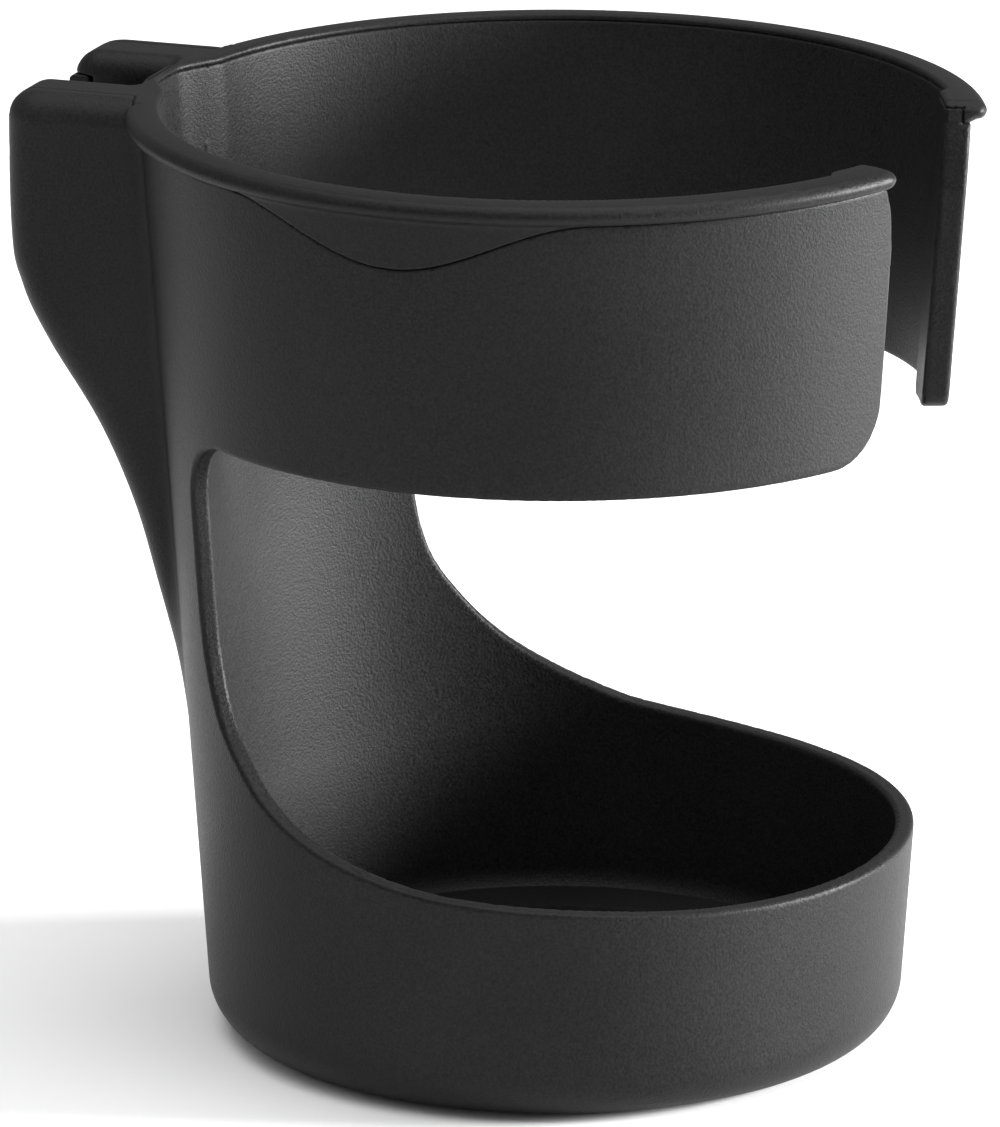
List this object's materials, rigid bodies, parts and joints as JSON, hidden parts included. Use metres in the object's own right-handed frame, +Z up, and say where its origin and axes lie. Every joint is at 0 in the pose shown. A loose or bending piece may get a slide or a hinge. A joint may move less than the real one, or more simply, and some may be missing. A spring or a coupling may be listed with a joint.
{
  "type": "clip-on cup holder",
  "caption": "Open-fronted cup holder: a tapered C-shaped ring on a curved spine over a shallow cup, with a latched rear socket that drops over a mounting tongue.",
  "frame": {"origin": "centre of the flat underside of the base, on the cup's axis", "axes": "+Z up along the cup's axis, +Y towards the rear housing, -Y towards the front slot"},
  "size_m": [0.09, 0.0988, 0.1],
  "materials": {
    "shell": "fine spark-eroded grain, charcoal black",
    "trim": "satin, smoother than the shell",
    "mat": "matt, ribbed",
    "cover": "fine grain",
    "latch": "satin with grip grooves",
    "liner": "slippery, semi-gloss",
    "steel": "zinc plated"
  },
  "bodies": {
    "holder": {"holder_body": "shell", "rim_trim": "trim", "base_mat": "mat", "back_cover": "cover", "latch_pin": "steel", "slide_liner_left": "liner", "slide_liner_right": "liner", "cover_screw_1": "steel", "cover_screw_2": "steel", "cover_screw_3": "steel", "cover_screw_4": "steel"},
    "latch": {"latch_lever": "latch", "latch_spring": "steel"}
  },
  "joints": [
    {"name": "latch_press", "type": "hinge", "parent": "holder", "child": "latch", "pos_m": [0, 0.0514, 0.0885], "axis": [1, 0, 0], "range_deg": [0, 10], "stiffness_Nm_per_rad": 0.03, "springref_deg": -11.46}
  ]
}
